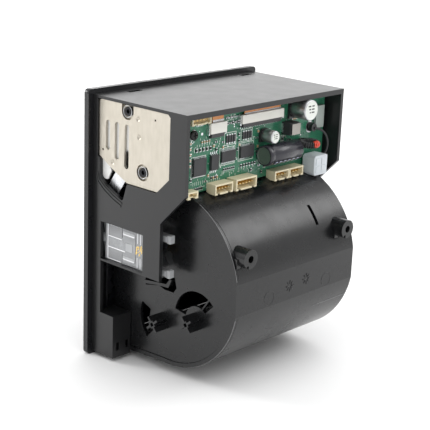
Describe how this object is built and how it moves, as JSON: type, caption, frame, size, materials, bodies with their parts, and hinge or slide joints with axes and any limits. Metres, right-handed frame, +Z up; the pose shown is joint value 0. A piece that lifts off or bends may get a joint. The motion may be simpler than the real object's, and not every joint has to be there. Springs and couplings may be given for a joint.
{
  "type": "panel-mount receipt printer",
  "caption": "Panel-mount thermal receipt printer: square front flange with a drop-down door, open-backed shell with a circuit board, and a round paper bucket below.",
  "frame": {"origin": "centre of the flange's rear face, which bears on the cabinet's front panel", "axes": "+Y points back into the cabinet, square to the panel; +Z up; +X to the right seen from the front"},
  "size_m": [0.116, 0.0924, 0.1324],
  "materials": {
    "cream_nylon": "moulded nylon",
    "board_screw": "black oxide",
    "bucket_plastic": "smooth moulded satin",
    "sleeve_black": "heat-shrunk sleeve",
    "grey_plastic": "moulded",
    "bright_steel": "plain bright steel",
    "brass": "turned",
    "can_metal": "drawn can",
    "choke_black": "heat-shrunk sleeve",
    "chip_black": "moulded epoxy",
    "dark_acetal": "satin",
    "ribbon_film": "polyimide film",
    "bezel_plastic": "fine moulded texture",
    "door_plastic": "fine moulded texture",
    "wire_black": "pvc",
    "head_glaze": "glazed ceramic",
    "head_aluminium": "machined",
    "white_nylon": "moulded nylon",
    "white_acetal": "satin",
    "board_green": "solder mask",
    "shell_plastic": "fine moulded texture",
    "platen_rubber": "ground rubber",
    "power_nylon": "translucent nylon",
    "clear_plastic": "clear moulding",
    "nickel_steel": "warm nickel-plated sheet",
    "black_screw": "black oxide",
    "latch_black": "moulded",
    "lens_green": "frosted",
    "thermal_pad": "silicone"
  },
  "bodies": {
    "housing": {"aux_sockets": "cream_nylon", "board_screws": "board_screw", "bucket_end_wall": "bucket_plastic", "bulk_capacitor": "sleeve_black", "button_carrier": "grey_plastic", "button_spring": "bright_steel", "button_stud": "brass", "can_capacitors": "can_metal", "choke": "choke_black", "controller_chip": "chip_black", "corner_socket": "cream_nylon", "driver_chips": "chip_black", "feed_switch": "grey_plastic", "flat_ribbons": "ribbon_film", "front_bezel": "bezel_plastic", "ground_wire": "wire_black", "head_pivot_rod": "bright_steel", "head_socket": "white_nylon", "head_springs": "bright_steel", "hinge_pins": "bright_steel", "idler_post": "bright_steel", "key_board": "board_green", "latch_pin": "bright_steel", "main_board": "board_green", "main_shell": "shell_plastic", "mech_chassis": "bright_steel", "motor_can": "bright_steel", "motor_socket": "cream_nylon", "panel_socket": "cream_nylon", "paper_bucket": "bucket_plastic", "plate_standoffs": "bright_steel", "power_inductor": "chip_black", "power_socket": "power_nylon", "resistor_arrays": "chip_black", "sensor_socket": "white_nylon", "serial_socket": "cream_nylon", "side_plate_far": "nickel_steel", "side_plate_near": "nickel_steel", "side_plate_screws": "black_screw", "socket_latches": "latch_black", "spring_beam": "bright_steel", "status_lens": "lens_green", "tear_bar": "bright_steel", "thermal_pad": "thermal_pad"},
    "door": {"front_door": "door_plastic", "platen_carrier": "bright_steel", "platen_bushes": "dark_acetal"},
    "platen": {"platen_shaft": "bright_steel", "platen_rubber": "platen_rubber", "platen_gear": "dark_acetal"},
    "idler": {"idler_gear": "white_acetal"},
    "motor_rotor": {"motor_shaft": "bright_steel", "motor_pinion": "white_acetal"},
    "release": {"release_button": "clear_plastic"},
    "latch": {"latch_lever": "bright_steel", "latch_cover": "white_acetal"},
    "feed": {"feed_button": "dark_acetal"},
    "head": {"head_ceramic": "head_glaze", "head_heatsink": "head_aluminium"}
  },
  "joints": [
    {"name": "door_hinge", "type": "hinge", "parent": "housing", "child": "door", "pos_m": [0, -0.0008, -0.0578], "axis": [1, 0, 0], "range_deg": [0, 90]},
    {"name": "platen_spin", "type": "hinge", "parent": "door", "child": "platen", "pos_m": [0, 0.0092, 0.0286], "axis": [1, 0, 0], "continuous": true},
    {"name": "idler_spin", "type": "hinge", "parent": "housing", "child": "idler", "pos_m": [0.0449, 0.02045, 0.04201], "axis": [1, 0, 0], "continuous": true},
    {"name": "motor_spin", "type": "hinge", "parent": "housing", "child": "motor_rotor", "pos_m": [0.03, 0.03473, 0.04452], "axis": [1, 0, 0], "continuous": true},
    {"name": "release_press", "type": "slide", "parent": "housing", "child": "release", "axis": [0, 1, 0], "range_m": [0, 0.004], "stiffness_N_per_m": 300, "springref_m": -0.002, "deforming": ["button_spring"]},
    {"name": "latch_pivot", "type": "hinge", "parent": "housing", "child": "latch", "pos_m": [0.0522, 0.0256, 0.0415], "axis": [1, 0, 0], "range_deg": [0, 6]},
    {"name": "feed_press", "type": "slide", "parent": "housing", "child": "feed", "axis": [0, 1, 0], "range_m": [0, 0.0008], "stiffness_N_per_m": 500, "springref_m": -0.0005},
    {"name": "head_tilt", "type": "hinge", "parent": "housing", "child": "head", "pos_m": [0, 0.0235, 0.0373], "axis": [-1, 0, 0], "range_deg": [0, 2], "stiffness_Nm_per_rad": 0.4, "springref_deg": -11.46, "deforming": ["head_springs"]}
  ],
  "couplings": [
    {"joint": "idler_spin", "follows": "platen_spin", "ratio": -0.52174},
    {"joint": "motor_spin", "follows": "platen_spin", "ratio": 2},
    {"joint": "latch_pivot", "follows": "release_press", "rad_per_m": 25.126}
  ]
}
